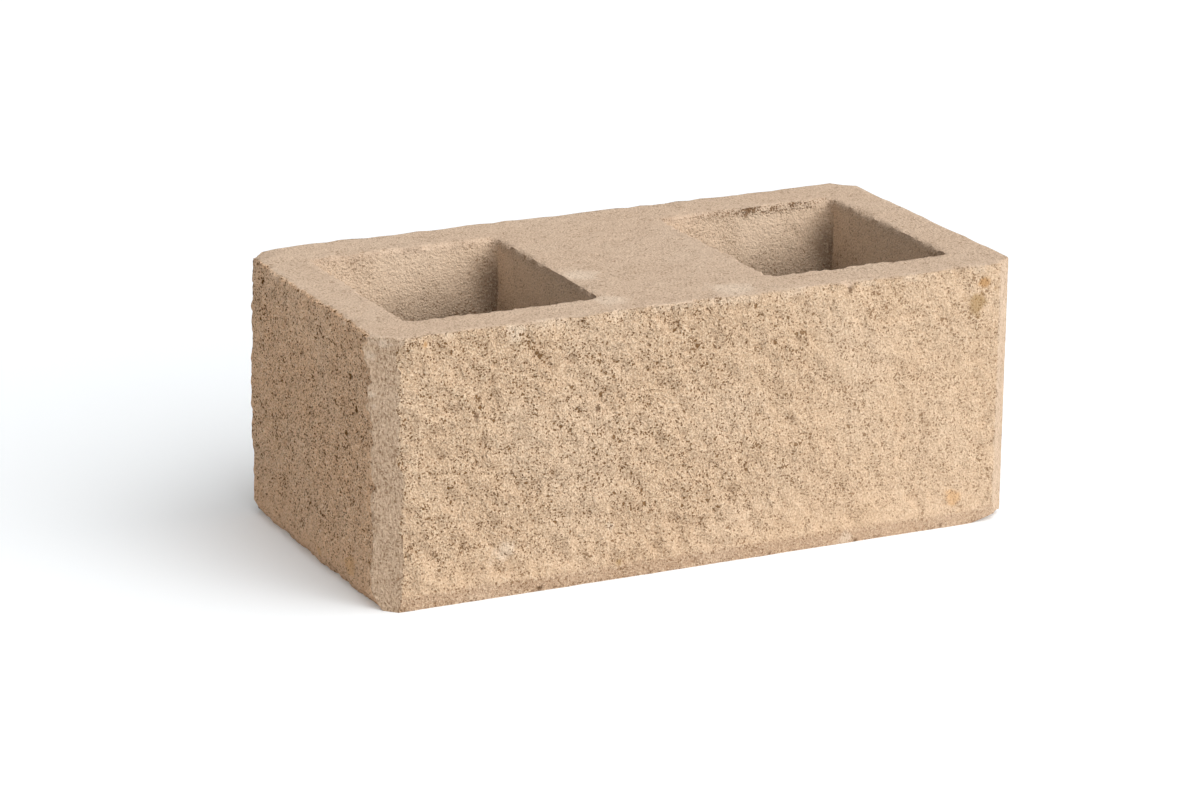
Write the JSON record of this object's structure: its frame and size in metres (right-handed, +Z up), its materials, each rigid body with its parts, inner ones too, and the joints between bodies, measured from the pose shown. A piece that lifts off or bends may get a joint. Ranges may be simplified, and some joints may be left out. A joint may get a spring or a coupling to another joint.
{
  "type": "split-face concrete block",
  "caption": "Hollow buff concrete block with upright rectangular cores, a rough split front and left end, moulded back and right end, chamfered upright corners and a smooth band at the foot.",
  "frame": {"origin": "centre of the bounding box on the lower bed", "axes": "+X along the length towards the plain right end, -Y out of the split front, +Z up out of the upper bed"},
  "size_m": [0.39, 0.2, 0.153],
  "materials": {
    "concrete": "matte, coarse sandy grain"
  },
  "bodies": {
    "root": {"concrete_block": "concrete"}
  },
  "joints": []
}
